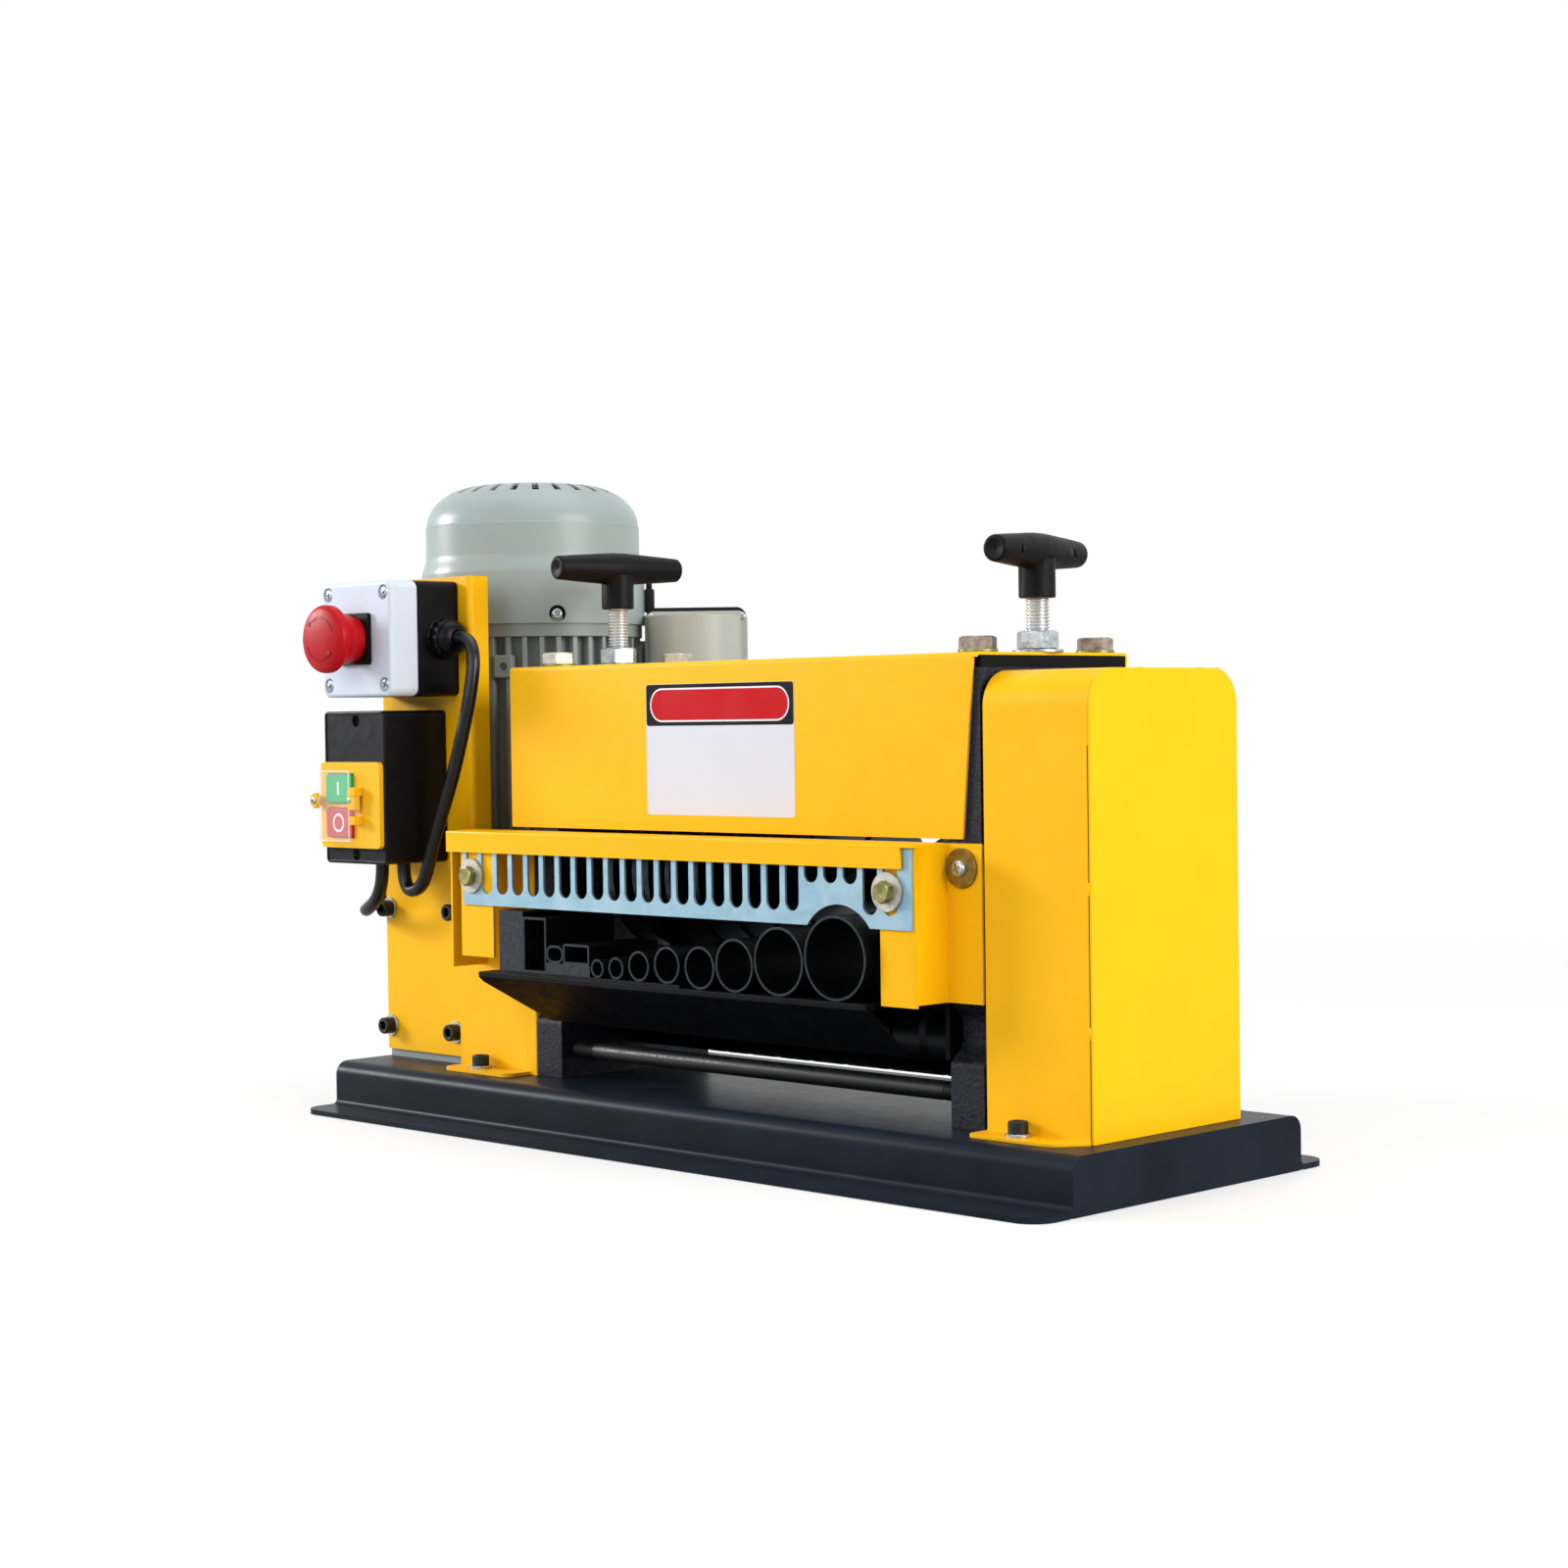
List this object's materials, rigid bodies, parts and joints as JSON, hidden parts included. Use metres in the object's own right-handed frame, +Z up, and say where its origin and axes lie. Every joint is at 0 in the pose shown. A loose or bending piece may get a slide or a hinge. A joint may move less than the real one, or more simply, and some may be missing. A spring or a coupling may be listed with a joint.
{
  "type": "wire stripping machine",
  "caption": "Bench wire stripping machine: powered rollers and disc blades behind guide channels, T-handle depth screws, worm motor, gear cover, emergency stop.",
  "frame": {"origin": "middle of the machine's outline on the bench, from the motor's overhang to the base's right end, at the bench surface", "axes": "+X along the base towards the gear cover, -Y towards the operator, +Z up"},
  "size_m": [0.6066, 0.2581, 0.3795],
  "materials": {
    "yellow_paint": "semi-gloss powder coat",
    "dark_paint": "gloss enamel",
    "black_casting": "black painted rough casting",
    "black_steel": "black painted sheet and tube",
    "zinc_plate": "blue-white zinc plated",
    "bright_steel": "turned steel",
    "tool_steel": "ground tool steel",
    "gear_steel": "hobbed steel",
    "bolt_zinc": "zinc plated fastener",
    "black_oxide": "black oxide fastener",
    "grey_paint": "semi-gloss motor enamel",
    "box_grey": "grey enamel",
    "black_plastic": "moulded ABS",
    "white_plastic": "moulded ABS",
    "red_plastic": "moulded nylon",
    "green_plastic": "moulded nylon",
    "yellow_plastic": "moulded nylon",
    "clear_plastic": "clear flexible cover",
    "cable_rubber": "cable sheath",
    "bronze": "cast bronze"
  },
  "bodies": {
    "root": {"base": "dark_paint", "side_frame_left": "black_casting", "side_frame_right": "black_casting", "tie_rod": "black_oxide", "top_plate": "black_steel", "top_cover": "yellow_paint", "top_bolts": "bolt_zinc", "adjusting_nuts": "bolt_zinc", "base_bolts": "bolt_zinc", "guard_hood": "yellow_paint", "comb_plate": "zinc_plate", "guard_screws": "bolt_zinc", "guide_tray": "black_steel", "guide_flat_channels": "black_steel", "guide_tubes_small": "black_steel", "guide_tubes_medium": "black_steel", "guide_tubes_large": "black_steel", "shaft_bearings": "bright_steel", "reducer_housing": "grey_paint", "motor_flange": "grey_paint", "motor_body": "grey_paint", "motor_cowl": "grey_paint", "junction_box": "box_grey", "junction_lid": "box_grey", "switch_plate": "yellow_paint", "front_bracket": "yellow_paint", "cap_screws": "black_oxide", "estop_box": "black_plastic", "estop_cover": "white_plastic", "estop_bezel": "black_plastic", "cable_gland": "black_plastic", "switch_box": "black_plastic", "switch_bezel": "yellow_plastic", "gear_cover": "yellow_paint", "gear_cover_end": "yellow_paint", "estop_lead": "cable_rubber", "motor_lead": "cable_rubber"},
    "blade_head": {"bearing_block_left": "black_casting", "bearing_block_right": "black_casting", "cutter_bearings": "bright_steel"},
    "cutter": {"cutter_shaft": "bright_steel", "blades": "tool_steel", "blade_spacers": "bright_steel", "cutter_gear": "gear_steel"},
    "feed": {"feed_shaft": "bright_steel", "feed_rollers": "gear_steel", "feed_gear": "gear_steel", "worm_wheel": "bronze"},
    "rotor": {"motor_rotor": "bright_steel", "motor_fan": "black_plastic", "worm": "gear_steel"},
    "handle_left": {"t_handle_left": "black_plastic", "adjusting_screw_left": "bolt_zinc"},
    "handle_right": {"t_handle_right": "black_plastic", "adjusting_screw_right": "bolt_zinc"},
    "estop_plunger": {"estop_stem": "red_plastic"},
    "estop_head": {"estop_button": "red_plastic"},
    "start_key": {"start_button": "green_plastic"},
    "stop_key": {"stop_button": "red_plastic"},
    "flap": {"switch_flap": "clear_plastic"}
  },
  "joints": [
    {"name": "blade_height", "type": "slide", "parent": "root", "child": "blade_head", "axis": [0, 0, 1], "range_m": [0, 0.004]},
    {"name": "left_handle_turn", "type": "hinge", "parent": "blade_head", "child": "handle_left", "pos_m": [-0.10925, 0, 0.264], "axis": [0, 0, 1], "range_deg": [0, 823.86]},
    {"name": "right_handle_turn", "type": "hinge", "parent": "blade_head", "child": "handle_right", "pos_m": [0.20975, 0, 0.264], "axis": [0, 0, 1], "range_deg": [0, 823.86]},
    {"name": "cutter_spin", "type": "hinge", "parent": "blade_head", "child": "cutter", "pos_m": [0, 0, 0.147], "axis": [1, 0, 0], "continuous": true},
    {"name": "feed_spin", "type": "hinge", "parent": "root", "child": "feed", "pos_m": [0, 0, 0.067], "axis": [1, 0, 0], "continuous": true},
    {"name": "motor_spin", "type": "hinge", "parent": "root", "child": "rotor", "pos_m": [-0.23375, 0.04, 0.067], "axis": [0, 0, 1], "continuous": true},
    {"name": "estop_press", "type": "slide", "parent": "root", "child": "estop_plunger", "axis": [0, 1, 0], "range_m": [0, 0.004], "stiffness_N_per_m": 800, "springref_m": -0.001},
    {"name": "estop_twist", "type": "hinge", "parent": "estop_plunger", "child": "estop_head", "pos_m": [-0.22825, -0.129, 0.2825], "axis": [0, 1, 0], "range_deg": [0, 45], "stiffness_Nm_per_rad": 0.05},
    {"name": "start_press", "type": "slide", "parent": "root", "child": "start_key", "axis": [0, 1, 0], "range_m": [0, 0.003], "stiffness_N_per_m": 600, "springref_m": -0.001},
    {"name": "stop_press", "type": "slide", "parent": "root", "child": "stop_key", "axis": [0, 1, 0], "range_m": [0, 0.003], "stiffness_N_per_m": 600, "springref_m": -0.001},
    {"name": "flap_hinge", "type": "hinge", "parent": "root", "child": "flap", "pos_m": [-0.22735, -0.1045, 0.18415], "axis": [0, 0, 1], "range_deg": [0, 110]}
  ],
  "couplings": [
    {"joint": "left_handle_turn", "follows": "blade_height", "rad_per_m": 3590.4},
    {"joint": "right_handle_turn", "follows": "blade_height", "rad_per_m": 3590.4},
    {"joint": "feed_spin", "follows": "motor_spin", "ratio": -0.025},
    {"joint": "cutter_spin", "follows": "motor_spin", "ratio": 0.016667}
  ]
}
